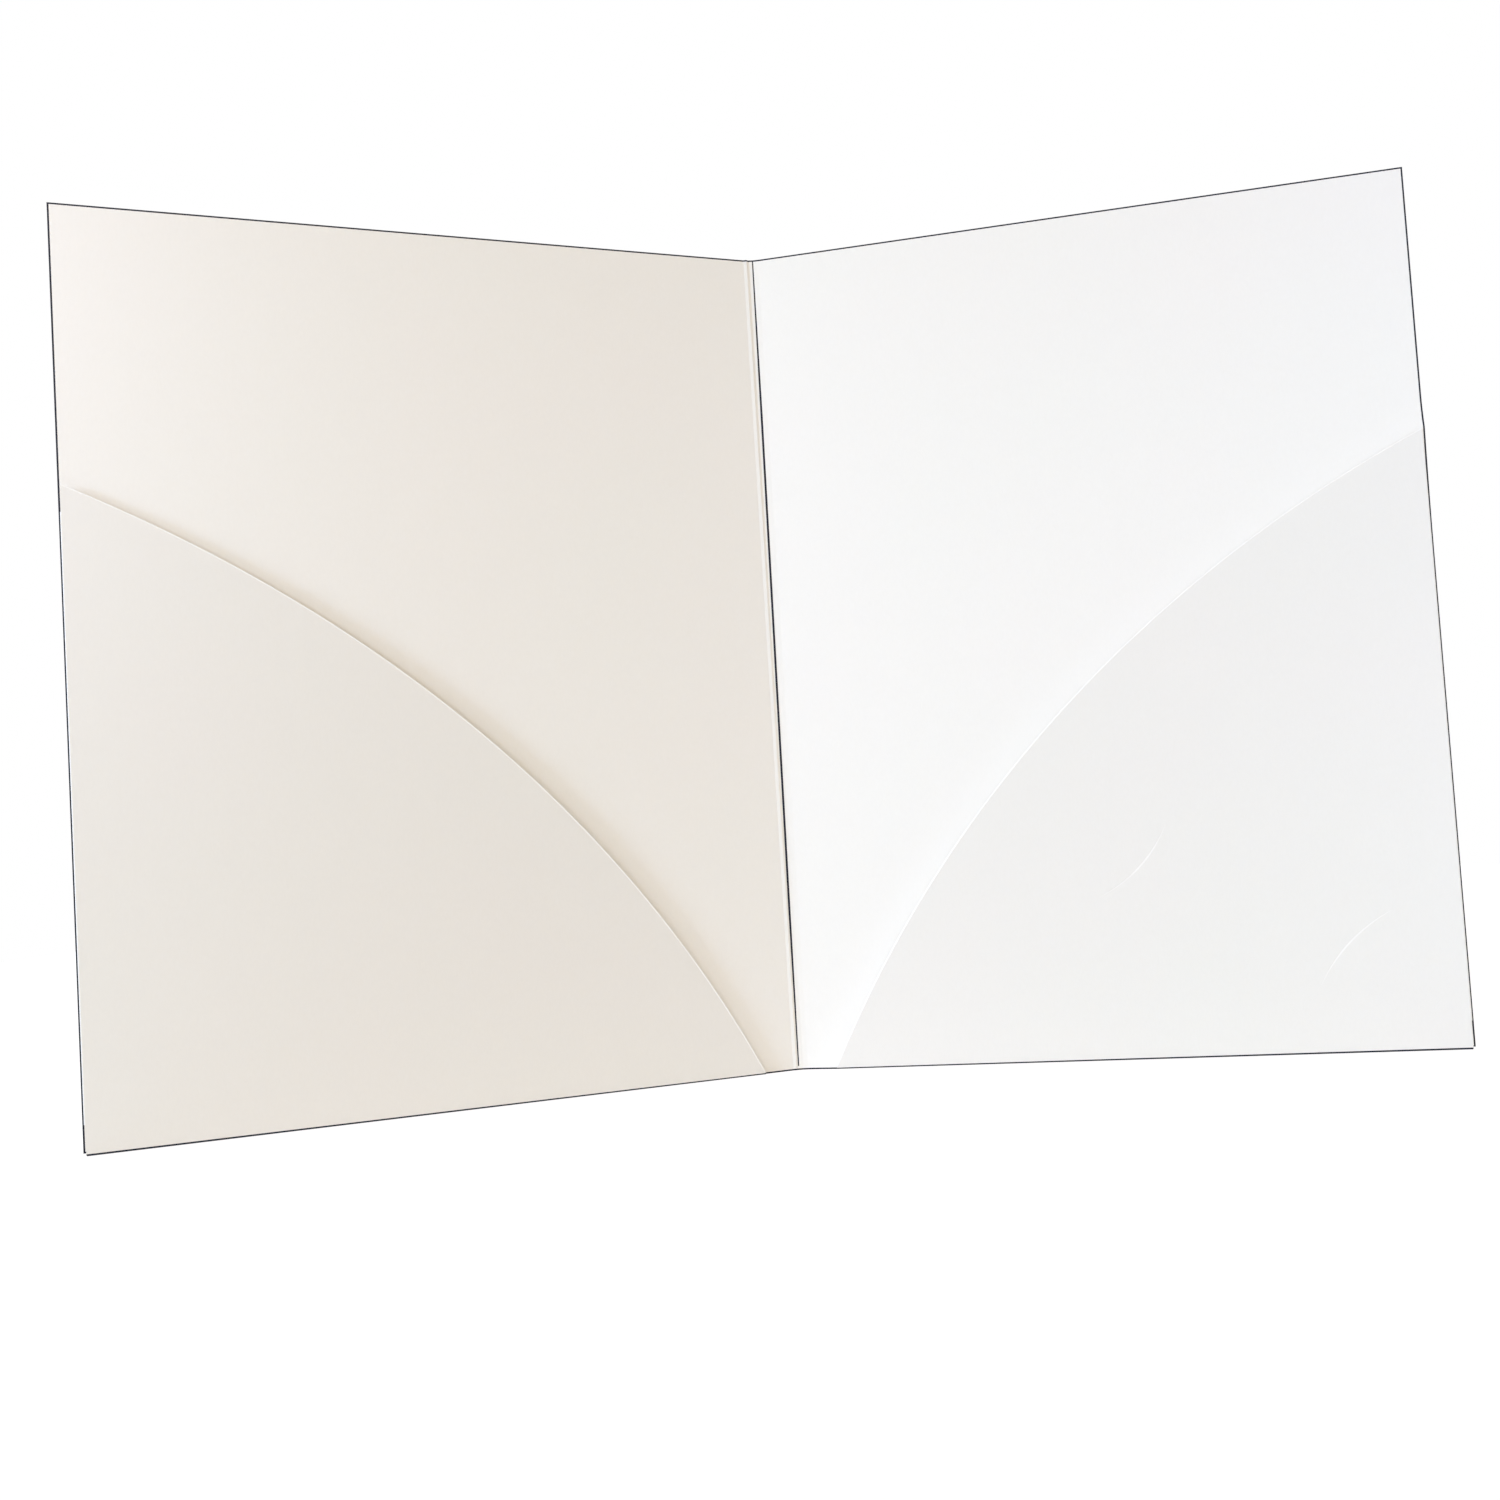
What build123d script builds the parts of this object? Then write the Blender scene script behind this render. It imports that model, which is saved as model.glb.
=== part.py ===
from build123d import *
from math import asin, cos, degrees, hypot, radians, sin, sqrt, tan
import os

os.makedirs("parts", exist_ok=True)

# An open two pocket folder of white card, standing on its bottom edge. All lengths are millimetres.
# +X runs to the right, +Y to the back of the spine and +Z up. The origin is on the floor, at the middle.

# Card
card = 0.36

# Covers and spine
folder_height = 304.8
cover_width = 228.6
spine_width = 3.2
cover_lean = 10
crease_mitre = 44.5

# Pockets
pocket_height = 212.4
pocket_inset = 11.7
foot_clear = 0.5
pocket_side_inset = 0.8
pocket_gap = 0.8
lip_depth = 26.5
lip_rise = 0.4
lip_bevel = 9
lip_end = 2.0
lip_overrun = 3.0

# Glue tabs
tab_width = 19.0
tab_end_clear = 9.0
tab_taper = 30
glue = 0.1
glue_width = 9.0
glue_end_clear = 12.0

# Name card slits, for a card of the usual size
name_card_width = 88.9
name_card_height = 50.8
name_card_side_margin = 25.7
name_card_foot_margin = 27.5
slit_tuck = 11.9
slit_chord = 35.2
slit_rise = 3.1
slit_width = 0.3

# Depths over a cover, counted from its outer face
pocket_back = card + pocket_gap
pocket_front = pocket_back + card
tab_back = card + glue
tab_front = tab_back + card

# The fold under a cover is a half ring from the cover's outer face to the pocket's front
fold_outer = pocket_front / 2
fold_inner = pocket_gap / 2
fold_line = fold_outer

# The fold at a pocket's side is a half ring from the tab's back to the pocket's front
side_outer = (pocket_front - tab_back) / 2
side_inner = (pocket_back - tab_front) / 2
side_centre = (pocket_front + tab_back) / 2
pocket_side = cover_width - pocket_side_inset - side_outer

# The pockets' side folds reach furthest forward, so the folder's depth runs from them to the spine
lean_cos = cos(radians(cover_lean))
lean_sin = sin(radians(cover_lean))
folder_depth = pocket_side * lean_sin + side_centre * lean_cos + side_outer
spine_back = folder_depth / 2

# Working planes. The cover plane lies on the right cover's outer face: x runs out from the crease and
# y runs up, both counted from the foot of the crease, and its normal points into the folder.
outward = Vector(lean_cos, -lean_sin, 0)
inward = Vector(-lean_sin, -lean_cos, 0)
crease_foot = Vector(spine_width / 2, spine_back, 0)
cover_plane = Plane(crease_foot, x_dir=outward, z_dir=inward)
plan_plane = Plane(crease_foot + Vector(0, 0, fold_line), x_dir=outward, z_dir=(0, 0, 1))

# The chord joins the two ends of a pocket's curved free edge, and the lip bends along it
chord_low = Vector(pocket_inset, fold_line)
chord_high = Vector(pocket_side, pocket_height)
chord_run = chord_high.X - chord_low.X
chord_climb = chord_high.Y - chord_low.Y
chord_length = hypot(chord_run, chord_climb)
chord_along = Vector(chord_run / chord_length, chord_climb / chord_length)
chord_across = Vector(-chord_along.Y, chord_along.X)
lip_crown = (chord_low + chord_high) / 2 + chord_across * lip_depth


# Right cover: a flat panel, mitred along the crease so that it can turn on its outer corner. Between the
# crease and the pocket's fold, its foot reaches down to the floor.
mitre = card * tan(radians(crease_mitre))
panel_height = folder_height - fold_line
foot_width = pocket_inset - foot_clear

with BuildPart() as right_cover:
    with BuildSketch(plan_plane):
        with BuildLine():
            Polyline((0, 0), (cover_width, 0), (cover_width, -card), (mitre, -card), close=True)
        make_face()
    extrude(amount=panel_height)
    with BuildSketch(plan_plane):
        with BuildLine():
            Polyline((0, 0), (foot_width, 0), (foot_width, -card), (mitre, -card), close=True)
        make_face()
    extrude(amount=-fold_line)
right_cover.part.label = "right_cover"
export_step(right_cover.part, "parts/right_cover.step")

with BuildPart() as left_cover:
    mirror(right_cover.part, about=Plane.YZ)
left_cover.part.label = "left_cover"
export_step(left_cover.part, "parts/left_cover.step")


# Spine: the strip between the two creases, mitred along both
half_spine = spine_width / 2

with BuildPart() as spine:
    with BuildSketch():
        with BuildLine():
            Polyline(
                (-half_spine, spine_back),
                (half_spine, spine_back),
                (half_spine - mitre, spine_back - card),
                (mitre - half_spine, spine_back - card),
                close=True,
            )
        make_face()
    extrude(amount=folder_height)
spine.part.label = "spine"
export_step(spine.part, "parts/spine.step")


# Pocket folds: half rings under the covers, where the sheet turns up into the pockets
fold_start = cover_plane.from_local_coords(Vector(pocket_inset, fold_line, 0))

with BuildPart() as right_pocket_fold:
    with BuildSketch(Plane(fold_start, x_dir=inward, z_dir=outward)):
        with BuildLine():
            outer_bend = CenterArc((fold_outer, 0), fold_outer, 0, 180)
            inner_bend = CenterArc((fold_outer, 0), fold_inner, 0, 180)
            Line(outer_bend @ 0, inner_bend @ 0)
            Line(outer_bend @ 1, inner_bend @ 1)
        make_face()
    extrude(amount=chord_run)
right_pocket_fold.part.label = "right_pocket_fold"
export_step(right_pocket_fold.part, "parts/right_pocket_fold.step")

with BuildPart() as left_pocket_fold:
    mirror(right_pocket_fold.part, about=Plane.YZ)
left_pocket_fold.part.label = "left_pocket_fold"
export_step(left_pocket_fold.part, "parts/left_pocket_fold.step")


# Pockets: the flat part of each pocket, below the chord of its free edge. A slit is an arc cut on the
# chord of a name card's tucked corner, and it frees a half-moon tongue that points at the card's middle.
def half_moon(middle, towards, rise, chord):
    """Return the half moon that stands on a chord, drawn in the cover's x and y."""
    along = Vector(-towards.Y, towards.X)
    first = middle - along * (chord / 2)
    last = middle + along * (chord / 2)
    with BuildSketch() as moon:
        with BuildLine():
            ThreePointArc(first, middle + towards * rise, last)
            Line(last, first)
        make_face()
    return moon.sketch


name_card_centre = Vector(
    pocket_side - name_card_side_margin - name_card_width / 2,
    name_card_foot_margin + name_card_height / 2,
)
inside_corner = name_card_centre + Vector(-name_card_width / 2, name_card_height / 2)
outside_corner = name_card_centre + Vector(name_card_width / 2, -name_card_height / 2)
down_out = Vector(1, -1).normalized()
up_in = Vector(-1, 1).normalized()
upper_slit = inside_corner + down_out * slit_tuck
lower_slit = outside_corner + up_in * slit_tuck

upper_window = half_moon(upper_slit, down_out, slit_rise, slit_chord)
lower_window = half_moon(lower_slit, up_in, slit_rise, slit_chord)
pocket_plane = cover_plane.offset(pocket_back)

with BuildSketch(pocket_plane) as pocket_outline:
    with BuildLine():
        Polyline(chord_low, (pocket_side, fold_line), chord_high, close=True)
    make_face()

with BuildPart() as right_pocket:
    extrude(pocket_outline.sketch, amount=card)
    with BuildSketch(pocket_plane):
        add(upper_window)
        add(lower_window)
    extrude(amount=card, mode=Mode.SUBTRACT)
right_pocket.part.label = "right_pocket"
export_step(right_pocket.part, "parts/right_pocket.step")

with BuildPart() as left_pocket:
    extrude(pocket_outline.sketch, amount=card)
    mirror(about=Plane.YZ, mode=Mode.REPLACE)
left_pocket.part.label = "left_pocket"
export_step(left_pocket.part, "parts/left_pocket.step")


# Card tongues: what the slits cut free, smaller than their half-moon windows by the slit's width
slit_radius = (slit_chord**2 / 4 + slit_rise**2) / (2 * slit_rise)
tongue_radius = slit_radius - slit_width
tongue_rise = slit_rise - slit_width
tongue_chord = 2 * sqrt(tongue_radius**2 - (slit_radius - slit_rise) ** 2)
upper_moon = half_moon(upper_slit, down_out, tongue_rise, tongue_chord)
lower_moon = half_moon(lower_slit, up_in, tongue_rise, tongue_chord)

with BuildPart() as upper_card_tongue:
    with BuildSketch(pocket_plane):
        add(upper_moon)
    extrude(amount=card)
upper_card_tongue.part.label = "upper_card_tongue"
export_step(upper_card_tongue.part, "parts/upper_card_tongue.step")

with BuildPart() as lower_card_tongue:
    with BuildSketch(pocket_plane):
        add(lower_moon)
    extrude(amount=card)
lower_card_tongue.part.label = "lower_card_tongue"
export_step(lower_card_tongue.part, "parts/lower_card_tongue.step")


# Pocket lips: the sheet past the chord, bent into a cylinder along it, so that the free edge stands
# off the cover. A lip turns on the pocket's front face, and its bevelled back leaves it room to be
# pressed in. Its two thin ends are cut square, a little short of the chord's.
lip_back_radius = (lip_depth**2 + lip_rise**2) / (2 * lip_rise)
lip_front_radius = lip_back_radius - card
lip_centre = pocket_back + lip_back_radius
lip_sweep = degrees(asin((lip_depth + lip_overrun) / lip_front_radius))
bevel_sweep = degrees(card * tan(radians(lip_bevel)) / lip_back_radius)
lip_start = chord_low + chord_along * lip_end
lip_foot = cover_plane.from_local_coords(Vector(lip_start.X, lip_start.Y, 0))
lip_across = cover_plane.from_local_coords(chord_across) - crease_foot
lip_along = cover_plane.from_local_coords(chord_along) - crease_foot

with BuildPart() as right_pocket_lip:
    with BuildSketch(Plane(lip_foot, x_dir=lip_across, z_dir=lip_along)):
        with BuildLine():
            front_bend = CenterArc((0, lip_centre), lip_front_radius, -90, lip_sweep)
            back_bend = CenterArc((0, lip_centre), lip_back_radius, bevel_sweep - 90, lip_sweep - bevel_sweep)
            Line(front_bend @ 0, back_bend @ 0)
            Line(front_bend @ 1, back_bend @ 1)
        make_face()
    extrude(amount=chord_length - 2 * lip_end)
    with BuildSketch(cover_plane):
        with BuildLine():
            ThreePointArc(chord_low, lip_crown, chord_high)
            Line(chord_high, chord_low)
        make_face()
    extrude(amount=lip_centre, mode=Mode.INTERSECT)
right_pocket_lip.part.label = "right_pocket_lip"
export_step(right_pocket_lip.part, "parts/right_pocket_lip.step")

with BuildPart() as left_pocket_lip:
    mirror(right_pocket_lip.part, about=Plane.YZ)
left_pocket_lip.part.label = "left_pocket_lip"
export_step(left_pocket_lip.part, "parts/left_pocket_lip.step")


# Glue tabs: flaps turned under at the pockets' sides, tapered at both ends to lie inside the pocket
chord_slope = chord_climb / chord_run
tab_inner = pocket_side - tab_width
tab_low = fold_line + tab_end_clear
tab_high = pocket_height - tab_end_clear
tab_low_inner = tab_low + tab_width * tan(radians(tab_taper))
tab_high_inner = tab_high - tab_width * chord_slope

with BuildPart() as right_glue_tab:
    with BuildSketch(cover_plane.offset(tab_back)):
        with BuildLine():
            Polyline(
                (pocket_side, tab_low),
                (pocket_side, tab_high),
                (tab_inner, tab_high_inner),
                (tab_inner, tab_low_inner),
                close=True,
            )
        make_face()
    extrude(amount=card)
right_glue_tab.part.label = "right_glue_tab"
export_step(right_glue_tab.part, "parts/right_glue_tab.step")

with BuildPart() as left_glue_tab:
    mirror(right_glue_tab.part, about=Plane.YZ)
left_glue_tab.part.label = "left_glue_tab"
export_step(left_glue_tab.part, "parts/left_glue_tab.step")


# Tab folds: half rings along the pockets' sides, as long as the tabs
side_foot = cover_plane.from_local_coords(Vector(pocket_side, tab_low, 0))

with BuildPart() as right_tab_fold:
    with BuildSketch(Plane(side_foot, x_dir=outward, z_dir=(0, 0, 1))):
        with BuildLine():
            outer_turn = CenterArc((0, -side_centre), side_outer, -90, 180)
            inner_turn = CenterArc((0, -side_centre), side_inner, -90, 180)
            Line(outer_turn @ 0, inner_turn @ 0)
            Line(outer_turn @ 1, inner_turn @ 1)
        make_face()
    extrude(amount=tab_high - tab_low)
right_tab_fold.part.label = "right_tab_fold"
export_step(right_tab_fold.part, "parts/right_tab_fold.step")

with BuildPart() as left_tab_fold:
    mirror(right_tab_fold.part, about=Plane.YZ)
left_tab_fold.part.label = "left_tab_fold"
export_step(left_tab_fold.part, "parts/left_tab_fold.step")


# Glue lines: a thin strip down the middle of each tab, between it and the cover
glue_middle = pocket_side - tab_width / 2
glue_low = (tab_low + tab_low_inner) / 2 + glue_end_clear
glue_high = (tab_high + tab_high_inner) / 2 - glue_end_clear

with BuildPart() as right_glue_line:
    with BuildSketch(cover_plane.offset(card)):
        with Locations((glue_middle, (glue_low + glue_high) / 2)):
            Rectangle(glue_width, glue_high - glue_low)
    extrude(amount=glue)
right_glue_line.part.label = "right_glue_line"
export_step(right_glue_line.part, "parts/right_glue_line.step")

with BuildPart() as left_glue_line:
    mirror(right_glue_line.part, about=Plane.YZ)
left_glue_line.part.label = "left_glue_line"
export_step(left_glue_line.part, "parts/left_glue_line.step")
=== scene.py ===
import math

import bmesh
import bpy
from mathutils import Matrix, Vector


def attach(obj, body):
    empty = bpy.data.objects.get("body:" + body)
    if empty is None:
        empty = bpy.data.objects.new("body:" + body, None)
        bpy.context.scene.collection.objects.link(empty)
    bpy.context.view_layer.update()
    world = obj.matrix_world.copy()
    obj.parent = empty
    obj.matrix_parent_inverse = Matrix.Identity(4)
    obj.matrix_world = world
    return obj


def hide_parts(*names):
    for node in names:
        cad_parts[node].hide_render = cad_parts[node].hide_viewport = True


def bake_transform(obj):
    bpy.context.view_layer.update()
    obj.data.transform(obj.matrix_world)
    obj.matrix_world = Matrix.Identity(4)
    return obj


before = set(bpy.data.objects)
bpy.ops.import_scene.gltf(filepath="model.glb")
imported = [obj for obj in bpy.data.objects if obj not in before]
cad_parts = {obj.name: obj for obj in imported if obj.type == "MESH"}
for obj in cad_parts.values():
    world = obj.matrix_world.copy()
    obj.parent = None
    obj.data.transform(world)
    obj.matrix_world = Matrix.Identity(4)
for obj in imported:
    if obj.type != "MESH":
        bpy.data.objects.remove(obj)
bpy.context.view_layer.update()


# Covers: the two large flat panels of the folder's one sheet of stiff white card, hinged on its creases.
# The sheet's inner side is matt and its outer side is pressed smooth. Its trimmed edge is inked dark, which
# shows as a hairline round both faces. The right panel swells a little along its pocket's free edge.
card = 0.00036
cover_width = 0.2286
folder_height = 0.3048
half_spine = 0.0016
spine_back = 0.020485
lean = math.radians(10)
full_fold = math.radians(89)
mitre = card * math.tan(full_fold / 2)
fold_line = 0.00076
ink_width = 0.00055
sharp_angle = math.radians(3.5)
cut_distance = 1e-7
outer_slot = 1
ink_slot = 2
# A face looks a way where its normal has more than this share of it.
facing = 0.5
# Most of a noise lies between these.
noise_low = 0.3
noise_high = 0.7


def shader_node(tree, kind, **values):
    """Add a node to a material and set its sockets by name."""
    made = tree.nodes.new(kind)
    for socket, value in values.items():
        made.inputs[socket.replace("_", " ")].default_value = value
    return made


def blank_finish(name, specular):
    """Start a material and return it with its nodes and its shader."""
    finish = bpy.data.materials.new(name)
    finish.use_nodes = True
    shader = finish.node_tree.nodes["Principled BSDF"]
    shader.inputs["Specular IOR Level"].default_value = specular
    return finish, finish.node_tree, shader


def tone_ramp(tree, noise, low, high):
    """Spread a noise over two tones."""
    ramp = tree.nodes.new("ShaderNodeValToRGB")
    ramp.color_ramp.elements[0].position = noise_low
    ramp.color_ramp.elements[0].color = (*low, 1)
    ramp.color_ramp.elements[1].position = noise_high
    ramp.color_ramp.elements[1].color = (*high, 1)
    tree.links.new(noise.outputs["Fac"], ramp.inputs["Fac"])
    return ramp


def skin(tree, shader, noise, gloss, tooth, depth):
    """Let a noise set a shader's roughness and raise its fine bumps."""
    tree.links.new(noise.outputs["Fac"], gloss.inputs["Value"])
    tree.links.new(gloss.outputs["Result"], shader.inputs["Roughness"])
    bump = shader_node(tree, "ShaderNodeBump", Strength=tooth, Distance=depth)
    tree.links.new(noise.outputs["Fac"], bump.inputs["Height"])
    tree.links.new(bump.outputs["Normal"], shader.inputs["Normal"])


def card_finish(name, rosy, leafy, smooth, rough, tooth):
    """White card: slow drifts between two whites, fine fibres along the grain, and a soft tooth."""
    finish, tree, shader = blank_finish(name, specular=0.3)
    place = tree.nodes.new("ShaderNodeTexCoord")
    drift = shader_node(tree, "ShaderNodeTexNoise", Scale=11.0, Detail=2.0, Roughness=0.5)
    tree.links.new(place.outputs["Object"], drift.inputs["Vector"])
    whites = tone_ramp(tree, drift, rosy, leafy)
    grain_way = shader_node(tree, "ShaderNodeMapping", Scale=(1.0, 1.0, 0.35))
    tree.links.new(place.outputs["Object"], grain_way.inputs["Vector"])
    fibres = shader_node(tree, "ShaderNodeTexNoise", Scale=1500.0, Detail=4.0, Roughness=0.6)
    tree.links.new(grain_way.outputs["Vector"], fibres.inputs["Vector"])
    flecks = tone_ramp(tree, fibres, (0.984, 0.983, 0.981), (1.0, 1.0, 1.0))
    colour = shader_node(tree, "ShaderNodeMixRGB", Fac=1.0)
    colour.blend_type = "MULTIPLY"
    tree.links.new(whites.outputs["Color"], colour.inputs["Color1"])
    tree.links.new(flecks.outputs["Color"], colour.inputs["Color2"])
    tree.links.new(colour.outputs["Color"], shader.inputs["Base Color"])
    gloss = shader_node(tree, "ShaderNodeMapRange", From_Min=noise_low, From_Max=noise_high)
    gloss.inputs["To Min"].default_value = smooth
    gloss.inputs["To Max"].default_value = rough
    skin(tree, shader, fibres, gloss, tooth, depth=0.00012)
    return finish


def mottled_finish(name, specular, scale, blur, low, high, smooth, rough, tooth):
    """One mottled layer, such as ink or glue: a noise sets its tone, its gloss and its skin."""
    finish, tree, shader = blank_finish(name, specular)
    place = tree.nodes.new("ShaderNodeTexCoord")
    mottle = shader_node(tree, "ShaderNodeTexNoise", Scale=scale, Detail=3.0, Roughness=blur)
    tree.links.new(place.outputs["Object"], mottle.inputs["Vector"])
    colour = tone_ramp(tree, mottle, low, high)
    tree.links.new(colour.outputs["Color"], shader.inputs["Base Color"])
    gloss = shader_node(tree, "ShaderNodeMapRange", To_Min=smooth, To_Max=rough)
    skin(tree, shader, mottle, gloss, tooth, depth=0.0001)
    return finish


inner_card = card_finish(
    "inner_card",
    rosy=(0.936, 0.930, 0.924),
    leafy=(0.929, 0.933, 0.924),
    smooth=0.75,
    rough=0.9,
    tooth=0.1,
)
outer_card = card_finish(
    "outer_card",
    rosy=(0.878, 0.869, 0.859),
    leafy=(0.871, 0.872, 0.858),
    smooth=0.5,
    rough=0.7,
    tooth=0.06,
)
edge_ink = mottled_finish(
    "edge_ink",
    specular=0.25,
    scale=420.0,
    blur=0.6,
    low=(0.009, 0.010, 0.020),
    high=(0.016, 0.018, 0.034),
    smooth=0.55,
    rough=0.8,
    tooth=0.1,
)


def on_cover(side):
    """Turn a cover's own axes, out from the crease, in from the outer face and up, into the folder's."""
    out = Vector((side * math.cos(lean), -math.sin(lean), 0))
    into = Vector((-side * math.sin(lean), -math.cos(lean), 0))
    placed = Matrix((out, into, Vector((0, 0, 1)))).transposed().to_4x4()
    placed.translation = (side * half_spine, spine_back, 0)
    return placed


def cut(bm, point, normal):
    """Cut every face along a plane and keep both sides."""
    everything = bm.verts[:] + bm.edges[:] + bm.faces[:]
    bmesh.ops.bisect_plane(bm, geom=everything, dist=cut_distance, plane_co=point, plane_no=normal)


def face_outward(bm):
    """Turn the faces of a closed mesh outward. Its volume tells the way, even on a thin sheet."""
    bmesh.ops.recalc_face_normals(bm, faces=bm.faces)
    if bm.calc_volume(signed=True) < 0:
        bmesh.ops.reverse_faces(bm, faces=bm.faces)


def make_piece(name, bm, finishes):
    """Make an object of a bmesh, with its finishes in slot order and only its hard edges sharp."""
    mesh = bpy.data.meshes.new(name)
    bm.to_mesh(mesh)
    bm.free()
    for finish in finishes:
        mesh.materials.append(finish)
    mesh.shade_smooth()
    mesh.set_sharp_from_angle(angle=sharp_angle)
    piece = bpy.data.objects.new(name, mesh)
    bpy.context.scene.collection.objects.link(piece)
    return piece


# The pocket's free edge is an arc over the line between its two ends, and the swell follows it.
pocket_inset = 0.0117
pocket_side = 0.22727
pocket_height = 0.2124
lip_depth = 0.0265
chord_low = Vector((pocket_inset, 0, fold_line))
chord_high = Vector((pocket_side, 0, pocket_height))
chord_length = (chord_high - chord_low).length
chord_along = (chord_high - chord_low) / chord_length
chord_across = Vector((-chord_along.z, 0, chord_along.x))
edge_radius = (chord_length ** 2 / 4 + lip_depth ** 2) / (2 * lip_depth)
edge_crown = (chord_low + chord_high) / 2 + chord_across * lip_depth
edge_centre = edge_crown - chord_across * edge_radius
swell_rise = 0.0006
swell_width = 0.011
swell_tuck = 0.04
swell_grid = 0.003
panel_height = folder_height - fold_line
panel_middle = Vector((cover_width / 2, card / 2, fold_line + panel_height / 2))
panel_size = Matrix.Diagonal((cover_width, card, panel_height, 1))

for side, hand in ((1, "right"), (-1, "left")):
    bm = bmesh.new()
    bmesh.ops.create_cube(bm, size=1, matrix=Matrix.Translation(panel_middle) @ panel_size)
    crease_side = [v for v in bm.verts if v.co.x < card and v.co.y > card / 2]
    bmesh.ops.translate(bm, verts=crease_side, vec=(mitre, 0, 0))
    cut(bm, (cover_width - ink_width, 0, 0), (1, 0, 0))
    cut(bm, (0, 0, folder_height - ink_width), (0, 0, 1))
    cut(bm, (0, 0, fold_line + ink_width), (0, 0, 1))
    cut(bm, (pocket_inset, 0, 0), (1, 0, 0))
    cut(bm, (pocket_side, 0, 0), (1, 0, 0))
    under = [f for f in bm.faces if f.normal.z < -facing]
    beside_spine = [f for f in under if f.calc_center_median().x < pocket_inset]
    lowered = bmesh.ops.extrude_face_region(bm, geom=beside_spine)
    foot = [e for e in lowered["geom"] if isinstance(e, bmesh.types.BMVert)]
    bmesh.ops.translate(bm, verts=foot, vec=(0, 0, -fold_line))
    bmesh.ops.delete(bm, geom=beside_spine, context="FACES_ONLY")
    cut(bm, (0, 0, ink_width), (0, 0, 1))
    if hand == "right":
        for step in range(1, int(cover_width / swell_grid)):
            cut(bm, (step * swell_grid, 0, 0), (1, 0, 0))
        for step in range(1, int(folder_height / swell_grid)):
            cut(bm, (0, 0, step * swell_grid), (0, 0, 1))
        for vert in bm.verts:
            if vert.co.y > card / 2:
                beyond = (vert.co.xz - edge_centre.xz).length - edge_radius
                share = 1 - beyond / swell_width if beyond > 0 else 1 + beyond / swell_tuck
                vert.co.y += swell_rise * max(share, 0) ** 2
    face_outward(bm)
    for face in bm.faces:
        middle = face.calc_center_median()
        if middle.x > cover_width - ink_width or middle.z > folder_height - ink_width:
            face.material_index = ink_slot
        elif middle.z < ink_width or (middle.z < fold_line + ink_width and middle.x > pocket_side):
            face.material_index = ink_slot
        elif face.normal.y < -facing:
            face.material_index = outer_slot
    bm.transform(on_cover(side))
    face_outward(bm)
    cover = make_piece(hand + "_cover_panel", bm, (inner_card, outer_card, edge_ink))
    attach(cover, hand + "_cover")
    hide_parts(hand + "_cover")


# Spine: the narrow strip of the same sheet between the two creases. A dark line is ruled down its inner
# face, from one crease at the top to the other at the foot, and its trimmed ends are inked as well.
line_width = 0.0008
line_top = 0.0009
line_foot = -0.0009
line_end_gap = 0.0009

bm = bmesh.new()
spine_middle = Vector((0, spine_back - card / 2, folder_height / 2))
spine_size = Matrix.Diagonal((2 * half_spine, card, folder_height, 1))
bmesh.ops.create_cube(bm, size=1, matrix=Matrix.Translation(spine_middle) @ spine_size)
inner_right = [v for v in bm.verts if v.co.y < spine_middle.y and v.co.x > 0]
inner_left = [v for v in bm.verts if v.co.y < spine_middle.y and v.co.x < 0]
bmesh.ops.translate(bm, verts=inner_right, vec=(-mitre, 0, 0))
bmesh.ops.translate(bm, verts=inner_left, vec=(mitre, 0, 0))
ruled = Vector((line_top - line_foot, 0, folder_height)).normalized()
across_line = Vector((ruled.z, 0, -ruled.x))
line_middle = Vector(((line_top + line_foot) / 2, 0, spine_middle.z))
cut(bm, line_middle + across_line * line_width / 2, across_line)
cut(bm, line_middle - across_line * line_width / 2, across_line)
for height in (ink_width, ink_width + line_end_gap, folder_height - ink_width):
    cut(bm, (0, 0, height), (0, 0, 1))
for face in bm.faces:
    middle = face.calc_center_median()
    on_line = abs((middle - line_middle).dot(across_line)) < line_width / 2
    if min(folder_height - middle.z, middle.z) < ink_width:
        face.material_index = ink_slot
    elif face.normal.y < -facing and on_line and middle.z > ink_width + line_end_gap:
        face.material_index = ink_slot
    elif face.normal.y > facing:
        face.material_index = outer_slot
spine = make_piece("spine_strip", bm, (inner_card, outer_card, edge_ink))
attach(spine, "spine")
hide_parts("spine")


# Creases: the scored lines where the sheet turns from the spine into a cover. The score pushes the inner
# fibres up into a low bead, which closes the groove between the two panels. The real bead gives as they
# fold, but here it is a fixed shape. The left crease is folded harder, and its bead stands higher towards
# the top.
bead_on_cover = 0.0009
bead_on_spine = 0.0003
bead_root = card * 0.15
bead_ink_slot = 1
# Each bead's side, the cover it joins, and how high it stands at its top and at its foot.
beads = ((1, "right", 0.00005, 0.00005), (-1, "left", 0.0003, 0.00008))

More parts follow.
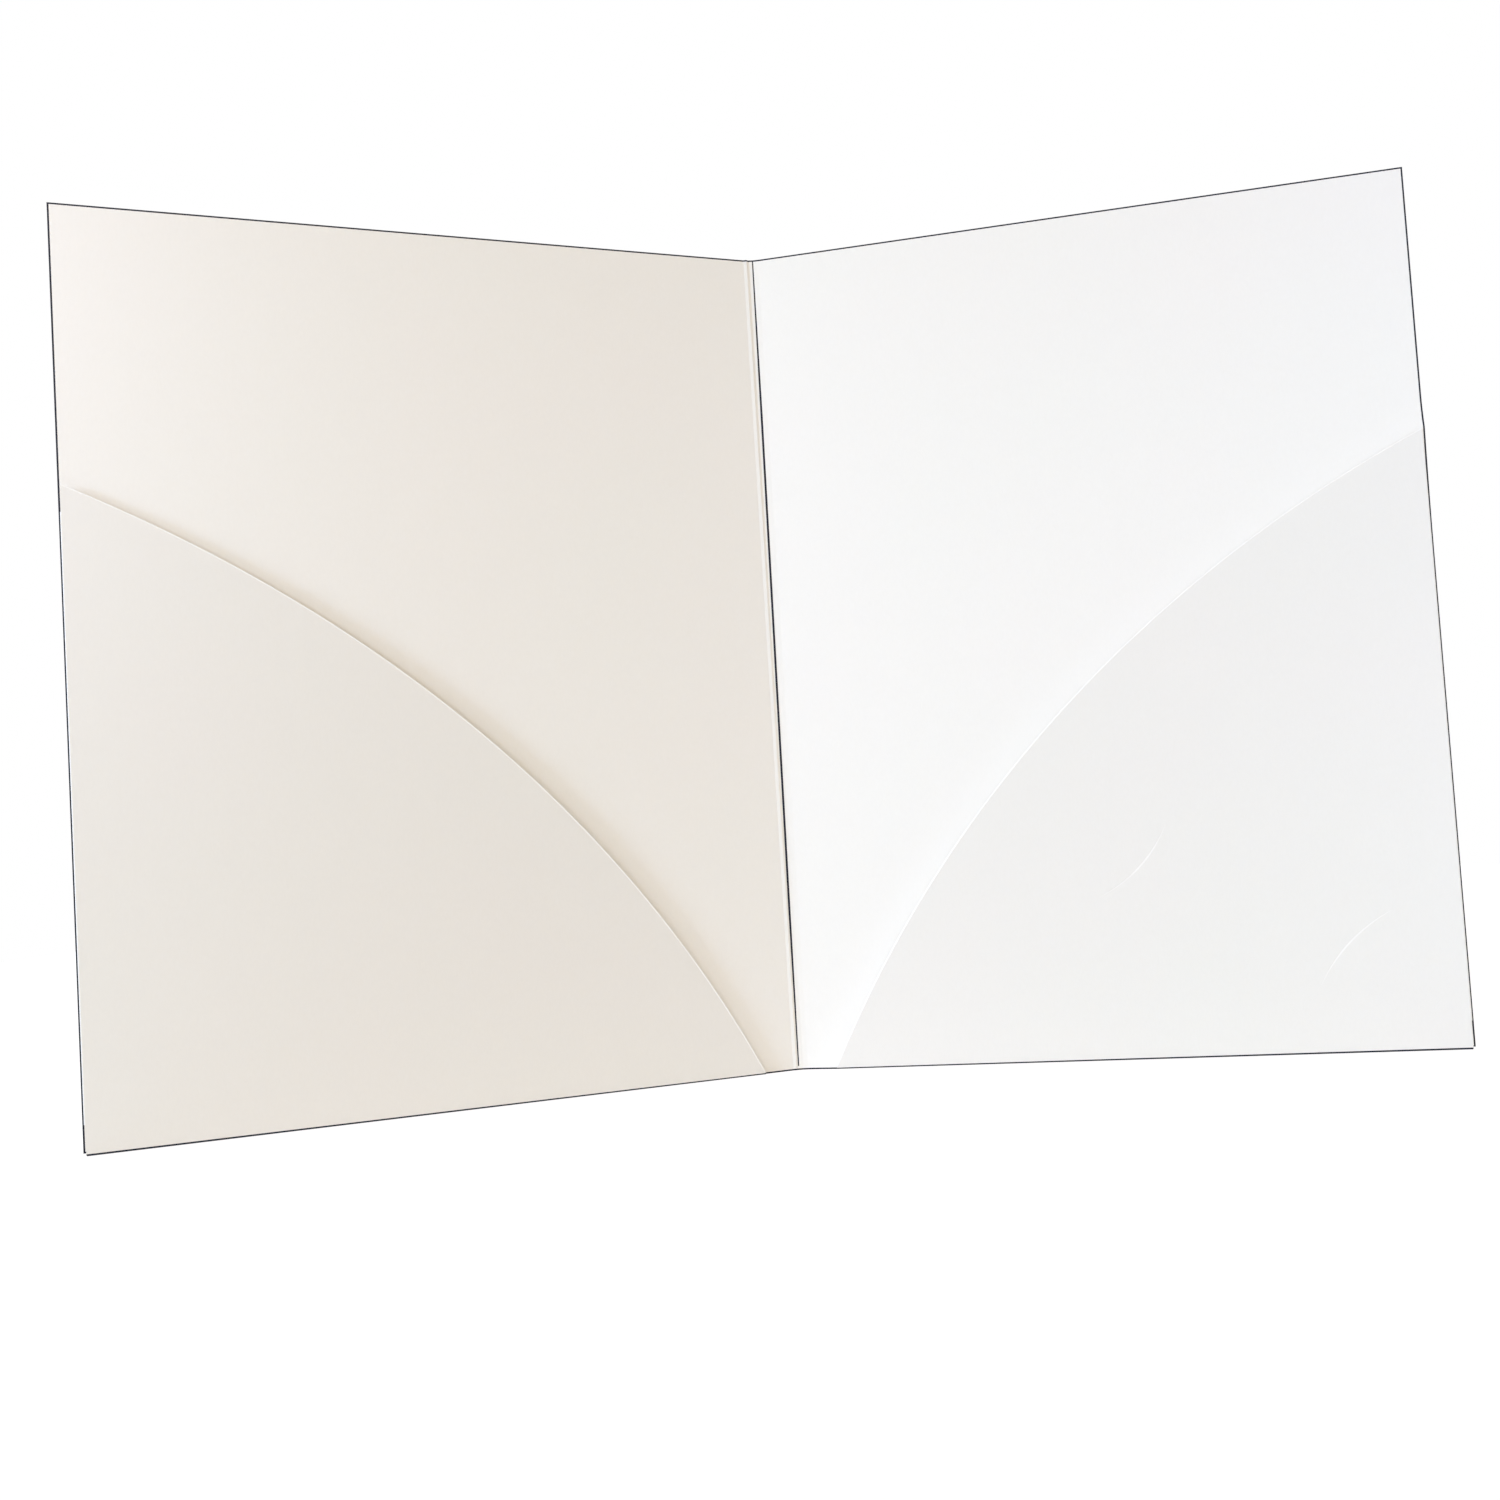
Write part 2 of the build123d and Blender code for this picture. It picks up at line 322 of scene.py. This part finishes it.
for side, hand, top_rise, foot_rise in beads:
    bm = bmesh.new()
    inside = on_cover(side)
    root = Vector((side * half_spine, spine_back - bead_root, 0))
    spine_corner = Vector((side * (half_spine - mitre), spine_back - card, 0))
    spine_end = spine_corner - Vector((side * bead_on_spine, 0, 0))
    cover_corner = inside @ Vector((mitre, card, 0))
    cover_end = inside @ Vector((mitre + bead_on_cover, card, 0))
    crest = (spine_corner + cover_corner) / 2
    outline = [bm.verts.new(p) for p in (root, spine_corner, spine_end, crest, cover_end, cover_corner)]
    foot = bm.faces.new(outline)
    risen = bmesh.ops.extrude_face_region(bm, geom=[foot])
    top = [e for e in risen["geom"] if isinstance(e, bmesh.types.BMVert)]
    bmesh.ops.translate(bm, verts=top, vec=(0, 0, folder_height))
    for vert in bm.verts:
        if (vert.co.xy - crest.xy).length < cut_distance:
            share = vert.co.z / folder_height
            vert.co.y -= foot_rise + (top_rise - foot_rise) * share
    cut(bm, (0, 0, folder_height - ink_width), (0, 0, 1))
    cut(bm, (0, 0, ink_width), (0, 0, 1))
    for face in bm.faces:
        middle = face.calc_center_median()
        if middle.z > folder_height - ink_width or middle.z < ink_width:
            face.material_index = bead_ink_slot
    face_outward(bm)
    bead = make_piece(hand + "_crease_bead", bm, (inner_card, edge_ink))
    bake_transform(bead)


# Pockets: the flaps that fold up from the covers' bottom edges, with a free edge cut to a long arc. Each is
# one sheet held at its folded bottom and its glued side. The left one bows a little off the cover, in a fan
# from the corner where these meet. The right one is slit twice, along two arcs, for a name card's corners.
# A narrow front rim along each free edge, and one rim of each slit, are painted brighter as a highlight.
pocket_back = 0.00116
pocket_corner = Vector((pocket_side, 0, fold_line))
edge_angle = 2 * math.asin(chord_length / 2 / edge_radius)
edge_steps = 96
bow_reach = (edge_crown - pocket_corner).length
bow_grid = 0.012
bow_cuts = 17
bend_before = 0.009
bend_grid = 0.003
first_bend_cut = -round(bend_before / bend_grid)
last_bend_cut = int(lip_depth / bend_grid)
slit_chord = 0.0352
slit_rise = 0.0031
slit_rim = 0.0005
slit_steps = 12
rim_width = 0.0004
rim_ramp = 0.0012
arc_distance = 1e-5
weld_distance = 1e-6
back_slot = 1
cut_and_highlight_slot = 2
# Each pocket's side, its cover, how far it bows, and how far the rim of its free edge is pressed in.
pockets = ((1, "right", 0.0, 0.0002), (-1, "left", 0.0007, -0.00007))
# Each slit's name, the middle of its chord, the way it bulges, and how far its rims on the pocket and on
# the tongue are pressed in. The rim that is pressed in further is painted bright as a highlight.
slits = (
    ("upper", Vector((0.12108, 0, 0.06989)), Vector((1, 0, -1)).normalized(), 0.0001, 0.00003),
    ("lower", Vector((0.19316, 0, 0.03592)), Vector((-1, 0, 1)).normalized(), 0.00003, 0.0001),
)


def arc(bm, start, centre, angle, steps):
    """Spin one vertex into an arc in a cover's plane and return its last vertex."""
    spun = bmesh.ops.spin(bm, geom=[start], cent=centre, axis=(0, 1, 0), angle=angle, steps=steps)
    return spun["geom_last"][0]


def rim_strip(bm, start, centre, angle, steps, width):
    """Spin a narrow strip of the sheet along an arc that is cut."""
    inner = start + (start - centre).normalized() * width
    ends = [bm.verts.new(start), bm.verts.new(inner)]
    bar = bm.edges.new(ends)
    bmesh.ops.spin(bm, geom=ends + [bar], cent=centre, axis=(0, 1, 0), angle=angle, steps=steps)


def slit_circle(middle, towards, rise):
    """Find the centre and radius of an arc over a slit's chord."""
    radius = (slit_chord ** 2 / 4 + rise ** 2) / (2 * rise)
    return middle + towards * (rise - radius), radius


def slit_arc(bm, middle, towards, rise):
    """Place vertices along an arc over a slit's chord, from end to end."""
    centre, radius = slit_circle(middle, towards, rise)
    along = Vector((towards.z, 0, -towards.x))
    spread = math.asin(slit_chord / 2 / radius)
    placed = []
    for step in range(-slit_steps, slit_steps + 1):
        turn = spread * step / slit_steps
        spoke = (towards * math.cos(turn) + along * math.sin(turn)) * radius
        placed.append(bm.verts.new(centre + spoke))
    return placed


def half_moon(bm, middle, towards, rise):
    """Outline a half moon on a slit's chord."""
    ring = slit_arc(bm, middle, towards, rise)
    for index, vert in enumerate(ring):
        bm.edges.new((ring[index - 1], vert))


def crescent(bm, middle, towards, low_rise, high_rise, painted_highlight):
    """Lay a crescent of sheet between two arcs over a slit's chord, painted bright as a highlight where
    asked.
    """
    low = slit_arc(bm, middle, towards, low_rise)
    high = slit_arc(bm, middle, towards, high_rise)
    for index in range(1, len(low)):
        face = bm.faces.new((low[index - 1], low[index], high[index], high[index - 1]))
        if painted_highlight:
            face.material_index = cut_and_highlight_slot


def bow_sheet(bm, bow_rise):
    """Lay a flat outline at a pocket's folded place and bow it off the cover."""
    for vert in bm.verts:
        reach = vert.co - pocket_corner
        fan = math.atan2(max(reach.z, 0), max(-reach.x, 0))
        vert.co.y = pocket_back + bow_rise * reach.length / bow_reach * math.sin(2 * fan)


def round_rim(bm, centre, radius, towards, rise, drop):
    """Press the front of a sheet in along a cut arc, or out by a drop below zero, less near its ends."""
    bm.normal_update()
    for vert in bm.verts:
        spoke = vert.co - centre
        spoke.y = 0
        over_chord = spoke.dot(towards) - radius + rise
        on_arc = abs(spoke.length - radius) < arc_distance
        if vert.normal.y > 0 and on_arc and over_chord > weld_distance:
            vert.co.y -= drop * min(over_chord / rim_ramp, 1)


# The whiter finish of the sheet's bare cut edges. It is also laid on the narrow front rim along each
# pocket's free edge and on one rim of each slit, as a painted highlight.
cut_edge_and_painted_highlight = card_finish(
    "cut_edge_and_painted_highlight",
    rosy=(0.955, 0.950, 0.945),
    leafy=(0.950, 0.952, 0.945),
    smooth=0.85,
    rough=0.95,
    tooth=0.2,
)

for side, hand, bow_rise, free_rim_drop in pockets:
    bm = bmesh.new()
    corner = bm.verts.new(pocket_corner)
    high = bm.verts.new(chord_high + (edge_centre - chord_high).normalized() * rim_width)
    low = arc(bm, high, edge_centre, -edge_angle, edge_steps)
    bm.edges.new((low, corner))
    bm.edges.new((corner, high))
    pocket_slits = slits if hand == "right" else ()
    for name, middle, towards, pocket_drop, tongue_drop in pocket_slits:
        half_moon(bm, middle, towards, slit_rise + slit_rim)
    bmesh.ops.triangle_fill(bm, use_beauty=True, edges=bm.edges)
    rim_strip(bm, chord_high, edge_centre, -edge_angle, edge_steps, -rim_width)
    for name, middle, towards, pocket_drop, tongue_drop in pocket_slits:
        # A slit's rim on the pocket, where it is pressed in further than the tongue's, is painted bright as
        # a highlight.
        crescent(bm, middle, towards, slit_rise, slit_rise + slit_rim, pocket_drop > tongue_drop)
    bmesh.ops.remove_doubles(bm, verts=bm.verts, dist=weld_distance)
    for step in range(1, bow_cuts + 1):
        cut(bm, pocket_corner - Vector((step * bow_grid, 0, 0)), (1, 0, 0))
        cut(bm, pocket_corner + Vector((0, 0, step * bow_grid)), (0, 0, 1))
    for step in range(first_bend_cut, last_bend_cut + 1):
        cut(bm, chord_low + chord_across * step * bend_grid, chord_across)
    bow_sheet(bm, bow_rise)
    bmesh.ops.recalc_face_normals(bm, faces=bm.faces)
    if bm.faces[0].normal.y > 0:
        bmesh.ops.reverse_faces(bm, faces=bm.faces)
    bmesh.ops.solidify(bm, geom=bm.faces[:], thickness=card)
    face_outward(bm)
    # The cut edges take the cut-edge finish, and so does the narrow front rim along the free edge, as a
    # painted highlight.
    for face in bm.faces:
        middle = face.calc_center_median()
        from_edge = edge_radius - (middle.xz - edge_centre.xz).length
        if abs(face.normal.y) < facing or (face.normal.y > facing and from_edge < rim_width):
            face.material_index = cut_and_highlight_slot
        elif face.normal.y < 0:
            face.material_index = back_slot
    round_rim(bm, edge_centre, edge_radius, chord_across, lip_depth, free_rim_drop)
    for name, middle, towards, pocket_drop, tongue_drop in pocket_slits:
        centre, radius = slit_circle(middle, towards, slit_rise)
        round_rim(bm, centre, radius, towards, slit_rise, pocket_drop)
    inside = on_cover(side)
    bm.transform(inside)
    face_outward(bm)
    pocket = make_piece(hand + "_pocket_sheet", bm, (outer_card, inner_card, cut_edge_and_painted_highlight))
    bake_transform(pocket)
    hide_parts(hand + "_pocket", hand + "_pocket_lip")


# Card tongues: the half-moon flaps that the two slits leave in the right pocket. A name card's corner slips
# under each. They are part of the pocket's sheet and lie flat here, their mesh cut finely along their
# chords, where a real tongue bends up.
slit_gap = 0.00001
bend_width = 0.0008
bend_cuts = 4
tongue_rise = slit_rise - slit_gap

for name, middle, towards, pocket_drop, tongue_drop in slits:
    bm = bmesh.new()
    half_moon(bm, middle, towards, tongue_rise - slit_rim)
    bmesh.ops.triangle_fill(bm, use_beauty=True, edges=bm.edges)
    # The tongue's rim, where it is pressed in further than the pocket's, is painted bright as a highlight.
    crescent(bm, middle, towards, tongue_rise - slit_rim, tongue_rise, tongue_drop > pocket_drop)
    bmesh.ops.remove_doubles(bm, verts=bm.verts, dist=weld_distance)
    for step in range(1, bend_cuts + 1):
        cut(bm, middle + towards * bend_width * step / bend_cuts, towards)
    bow_sheet(bm, bow_rise=0)
    bmesh.ops.recalc_face_normals(bm, faces=bm.faces)
    thickened = bmesh.ops.extrude_face_region(bm, geom=bm.faces)
    front = [e for e in thickened["geom"] if isinstance(e, bmesh.types.BMVert)]
    bmesh.ops.translate(bm, verts=front, vec=(0, card, 0))
    face_outward(bm)
    for face in bm.faces:
        if abs(face.normal.y) < facing:
            face.material_index = cut_and_highlight_slot
        elif face.normal.y < 0:
            face.material_index = back_slot
    centre, radius = slit_circle(middle, towards, tongue_rise)
    round_rim(bm, centre, radius, towards, tongue_rise, tongue_drop)
    inside = on_cover(side=1)
    bm.transform(inside)
    face_outward(bm)
    tongue = make_piece(name + "_card_tongue_flap", bm, (outer_card, inner_card, cut_edge_and_painted_highlight))
    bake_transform(tongue)
    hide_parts(name + "_card_tongue")


# Folds and tabs: the rounded folds at the pockets' bottoms and sides, and the tabs turned under at the
# sides, all of the same sheet. The bottom folds are rubbed dark like the trimmed edges.
for hand in ("left", "right"):
    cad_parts[hand + "_pocket_fold"].material_slots[0].material = edge_ink
    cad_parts[hand + "_tab_fold"].material_slots[0].material = outer_card
    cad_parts[hand + "_glue_tab"].material_slots[0].material = outer_card


# Glue lines: a thin dried strip of white glue down each tab, which holds it to the cover. It is ivory,
# cloudy and slightly glossy, with a dimpled skin.
dried_glue = mottled_finish(
    "dried_glue",
    specular=0.5,
    scale=240.0,
    blur=0.5,
    low=(0.74, 0.71, 0.62),
    high=(0.84, 0.82, 0.75),
    smooth=0.25,
    rough=0.45,
    tooth=0.2,
)
for hand in ("left", "right"):
    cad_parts[hand + "_glue_line"].material_slots[0].material = dried_glue


# Floor: a plain white table top that the folder stands on. The camera sees it white, with a thin share of
# real light for the folder's shadow, and its ordinary white throws light back on the folder.
floor_reach = 0.9


def shown_apart(tree, lighting, shown, output):
    """Give the camera, gloss and glass one shader to see, and all other light another."""
    path = tree.nodes.new("ShaderNodeLightPath")
    mirrored = tree.nodes.new("ShaderNodeMath")
    mirrored.operation = "MAXIMUM"
    tree.links.new(path.outputs["Is Camera Ray"], mirrored.inputs[0])
    tree.links.new(path.outputs["Is Glossy Ray"], mirrored.inputs[1])
    seen = tree.nodes.new("ShaderNodeMath")
    seen.operation = "MAXIMUM"
    tree.links.new(mirrored.outputs["Value"], seen.inputs[0])
    tree.links.new(path.outputs["Is Transmission Ray"], seen.inputs[1])
    choice = tree.nodes.new("ShaderNodeMixShader")
    tree.links.new(seen.outputs["Value"], choice.inputs["Fac"])
    tree.links.new(lighting, choice.inputs[1])
    tree.links.new(shown, choice.inputs[2])
    tree.links.new(choice.outputs["Shader"], tree.nodes[output].inputs["Surface"])


def floor_finish():
    """White table: a dull white that is shown brighter to the camera."""
    finish, tree, shader = blank_finish("white_table", specular=0.0)
    shader.inputs["Base Color"].default_value = (0.9, 0.9, 0.9, 1)
    shader.inputs["Roughness"].default_value = 0.9
    glow = shader_node(tree, "ShaderNodeEmission", Strength=0.8)
    shaded = shader_node(tree, "ShaderNodeBsdfDiffuse", Color=(0.3, 0.3, 0.3, 1))
    shown = tree.nodes.new("ShaderNodeAddShader")
    tree.links.new(glow.outputs["Emission"], shown.inputs[0])
    tree.links.new(shaded.outputs["BSDF"], shown.inputs[1])
    shown_apart(tree, shader.outputs["BSDF"], shown.outputs["Shader"], "Material Output")
    return finish


bm = bmesh.new()
bmesh.ops.create_grid(bm, x_segments=1, y_segments=1, size=floor_reach)
floor = make_piece("floor", bm, (floor_finish(),))


# Light: a warm ceiling lamp in front and a cool window far off to the left, which grazes the left cover
# and throws its pocket's shadow, in a dim warm room. Small lamps lift the left cover's outer corner and the
# right cover's foot and top, and two more windows light the back.
world = bpy.data.worlds.new("room")
bpy.context.scene.world = world
world.use_nodes = True
room = world.node_tree
room_light = room.nodes["Background"]
room_light.inputs["Color"].default_value = (1.0, 0.9, 0.78, 1)
room_light.inputs["Strength"].default_value = 0.25
white_wall = shader_node(room, "ShaderNodeBackground", Color=(1, 1, 1, 1), Strength=1.0)
shown_apart(room, room_light.outputs["Background"], white_wall.outputs["Background"], "World Output")


def soft_lamp(name, place, target, size, power, colour):
    """Hang a square soft lamp and aim it."""
    lamp = bpy.data.lights.new(name, "AREA")
    lamp.shape = "SQUARE"
    lamp.size = size
    lamp.energy = power
    lamp.color = colour
    hung = bpy.data.objects.new(name, lamp)
    bpy.context.scene.collection.objects.link(hung)
    hung.location = place
    hung.rotation_euler = (Vector(target) - Vector(place)).to_track_quat("-Z", "Y").to_euler()


folder_middle = (0, 0, 0.15)
daylight = (0.8, 0.9, 1.0)
soft_lamp(
    "ceiling_lamp", (0, -2.057, 2.601), folder_middle,
    size=1.6, power=43.4, colour=(1.0, 0.784, 0.45),
)
soft_lamp(
    "window_left", (-3.027, -0.983, 0.484), folder_middle,
    size=0.4, power=75.9, colour=(0.531, 0.73, 1.0),
)
soft_lamp(
    "corner_lamp", (-0.42, -0.2, 0.3), (-0.2, 0, 0.25),
    size=0.15, power=0.431, colour=(0.744, 0.816, 1.0),
)
soft_lamp(
    "low_lamp", (0.42, -0.32, 0.06), (0.12, 0, 0.08),
    size=0.25, power=0.426, colour=(0.616, 0.787, 1.0),
)
soft_lamp(
    "high_lamp", (0.4, -0.25, 0.42), (0.2, -0.03, 0.28),
    size=0.2, power=0.17, colour=(0.303, 0.449, 1.0),
)
soft_lamp(
    "window_back_left", (-1.1, 1.3, 0.7), folder_middle,
    size=1.0, power=17.0, colour=daylight,
)
soft_lamp(
    "window_back_right", (1.1, 1.3, 0.5), folder_middle,
    size=1.0, power=12.0, colour=daylight,
)


# Camera: close in front of the open folder, a little left of the spine and low, tipped slightly.
camera_place = (-0.01099, -0.314395, 0.08432)
camera_data = bpy.data.cameras.new("camera")
camera_data.lens = 21.6
camera_data.sensor_width = 36
camera_data.shift_x = -0.0336
camera_data.shift_y = 0.0429
camera_data.clip_start = 0.01
camera = bpy.data.objects.new("camera", camera_data)
bpy.context.scene.collection.objects.link(camera)
turned = Matrix.Rotation(math.radians(-2.864), 4, "Z")
raised = Matrix.Rotation(math.radians(90 + 1.675), 4, "X")
tipped = Matrix.Rotation(math.radians(-3.587), 4, "Z")
camera.matrix_world = Matrix.Translation(camera_place) @ turned @ raised @ tipped
bpy.context.scene.camera = camera
bpy.context.scene.view_settings.view_transform = "Standard"
